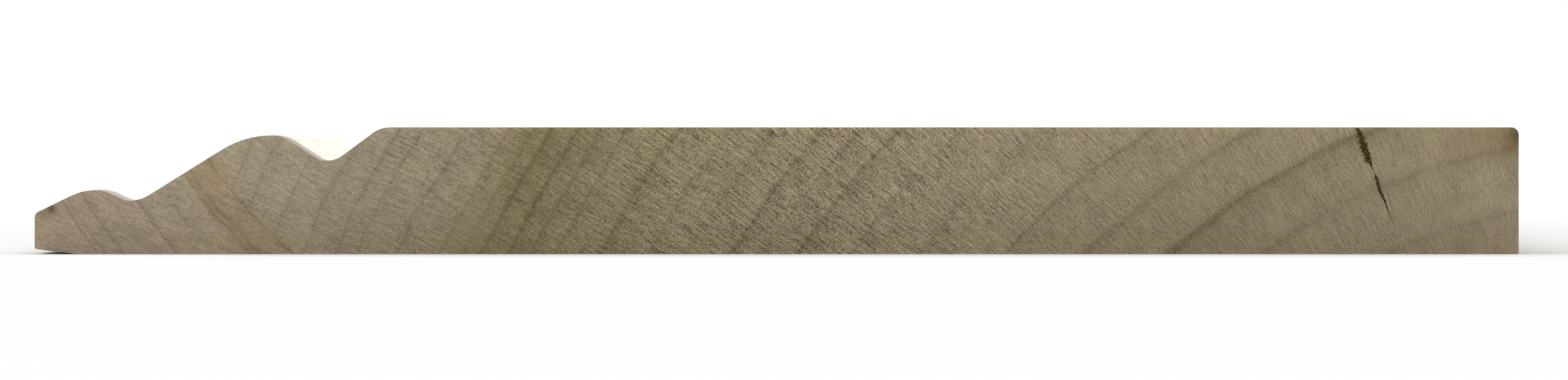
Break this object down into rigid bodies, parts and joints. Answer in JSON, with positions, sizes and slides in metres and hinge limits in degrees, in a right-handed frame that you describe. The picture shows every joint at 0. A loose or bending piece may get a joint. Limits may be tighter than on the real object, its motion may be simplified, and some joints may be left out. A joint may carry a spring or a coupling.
{
  "type": "skirting board",
  "caption": "Straight run of bare timber skirting board with a flat back, a plain face, a square foot edge and a moulded cap edge of bead, quirk, crown and hollow.",
  "frame": {"origin": "middle of the flat back, which lies on the ground", "axes": "+Y along the run, +X from the moulded cap edge towards the plain foot edge, +Z from the back out of the face"},
  "size_m": [0.222, 1, 0.019],
  "materials": {
    "tulipwood": "bare, machine-moulded faces and sawn ends, unpainted and unsealed"
  },
  "bodies": {
    "root": {"skirting_board": "tulipwood"}
  },
  "joints": []
}
